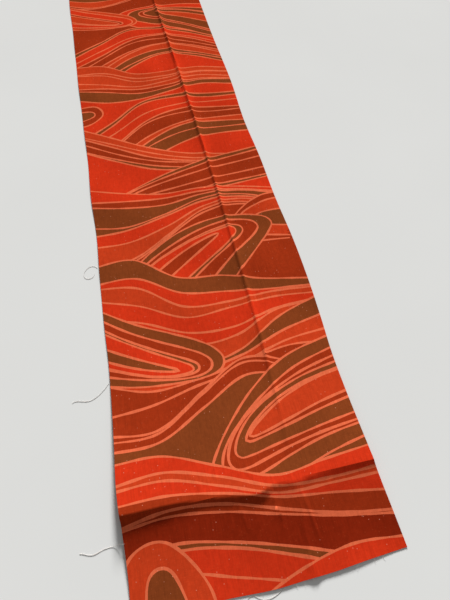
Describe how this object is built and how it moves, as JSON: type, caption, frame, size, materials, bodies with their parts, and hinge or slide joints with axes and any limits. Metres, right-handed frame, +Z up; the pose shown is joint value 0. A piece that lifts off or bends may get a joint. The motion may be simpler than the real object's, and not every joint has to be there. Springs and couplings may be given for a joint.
{
  "type": "length of narrow patterned silk cloth",
  "caption": "Long narrow length of resist-dyed silk laid face up, creased lengthwise and across, folding over its face along both creases, with loose yarns at its edges.",
  "frame": {"origin": "middle of the cloth's length and width, on the surface that it lies on", "axes": "+X across the cloth towards the narrow side panel, +Y along the cloth away from the cut end, +Z up"},
  "size_m": [0.42, 1.6112, 0.0104],
  "materials": {
    "dyed_silk": "fine plain-woven slub silk with a soft sheen, resist-dyed in reds, rust and olive brown",
    "loose_yarn": "fine pale silk yarn, matt and slightly fuzzy"
  },
  "bodies": {
    "main": {"main_panel": "dyed_silk", "loose_yarn_far": "loose_yarn", "loose_yarn_middle": "loose_yarn"},
    "side": {"side_panel": "dyed_silk"},
    "near_left": {"near_flap_left": "dyed_silk", "loose_yarn_near": "loose_yarn", "frayed_yarn": "loose_yarn"},
    "near_right": {"near_flap_right": "dyed_silk"}
  },
  "joints": [
    {"name": "side_fold", "type": "hinge", "parent": "main", "child": "side", "pos_m": [0.07, 0, 0.01055], "axis": [0, -1, 0], "range_deg": [0, 179.9]},
    {"name": "near_fold", "type": "hinge", "parent": "main", "child": "near_left", "pos_m": [0, -0.682, 0.01055], "axis": [-1, 0, 0], "range_deg": [0, 150]},
    {"name": "near_side_fold", "type": "hinge", "parent": "near_left", "child": "near_right", "pos_m": [0.07, -0.74, 0.01055], "axis": [0, -1, 0], "range_deg": [0, 179.9]}
  ],
  "couplings": [
    {"joint": "near_side_fold", "follows": "side_fold", "ratio": 1}
  ]
}
